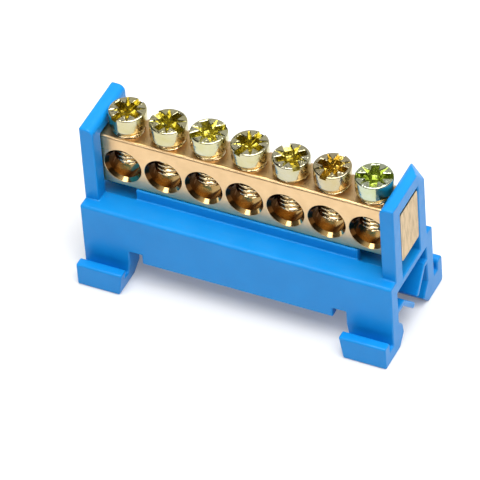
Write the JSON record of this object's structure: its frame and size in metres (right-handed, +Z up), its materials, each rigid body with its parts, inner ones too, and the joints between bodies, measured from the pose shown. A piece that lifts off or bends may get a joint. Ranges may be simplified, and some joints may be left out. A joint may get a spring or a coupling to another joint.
{
  "type": "neutral terminal bar",
  "caption": "Brass terminal bar with a row of wire holes and combination-drive clamp screws, held in a blue moulded carrier with end plates and clip feet.",
  "frame": {"origin": "middle of the footprint, on the plane of the foot soles", "axes": "+X along the bar, +Y from the front wire side to the rear, +Z up towards the screw heads"},
  "size_m": [0.05, 0.0208, 0.0278],
  "materials": {
    "blue_plastic": "moulded, satin gloss",
    "brass": "drawn, lightly brushed",
    "zinc_steel": "yellow passivated zinc, bright"
  },
  "bodies": {
    "base": {"carrier": "blue_plastic", "busbar": "brass"},
    "screw_1": {"clamp_screw_1": "zinc_steel"},
    "screw_2": {"clamp_screw_2": "zinc_steel"},
    "screw_3": {"clamp_screw_3": "zinc_steel"},
    "screw_4": {"clamp_screw_4": "zinc_steel"},
    "screw_5": {"clamp_screw_5": "zinc_steel"},
    "screw_6": {"clamp_screw_6": "zinc_steel"},
    "screw_7": {"clamp_screw_7": "zinc_steel"}
  },
  "joints": [
    {"name": "screw_1_travel", "type": "slide", "parent": "base", "child": "screw_1", "axis": [0, 0, 1], "range_m": [-0.00093, 0.0029]},
    {"name": "screw_2_travel", "type": "slide", "parent": "base", "child": "screw_2", "axis": [0, 0, 1], "range_m": [-0.00068, 0.00315]},
    {"name": "screw_3_travel", "type": "slide", "parent": "base", "child": "screw_3", "axis": [0, 0, 1], "range_m": [-0.00093, 0.0029]},
    {"name": "screw_4_travel", "type": "slide", "parent": "base", "child": "screw_4", "axis": [0, 0, 1], "range_m": [-0.00078, 0.00305]},
    {"name": "screw_5_travel", "type": "slide", "parent": "base", "child": "screw_5", "axis": [0, 0, 1], "range_m": [-0.00033, 0.0035]},
    {"name": "screw_6_travel", "type": "slide", "parent": "base", "child": "screw_6", "axis": [0, 0, 1], "range_m": [-0.00063, 0.0032]},
    {"name": "screw_7_travel", "type": "slide", "parent": "base", "child": "screw_7", "axis": [0, 0, 1], "range_m": [-0.00083, 0.003]}
  ]
}
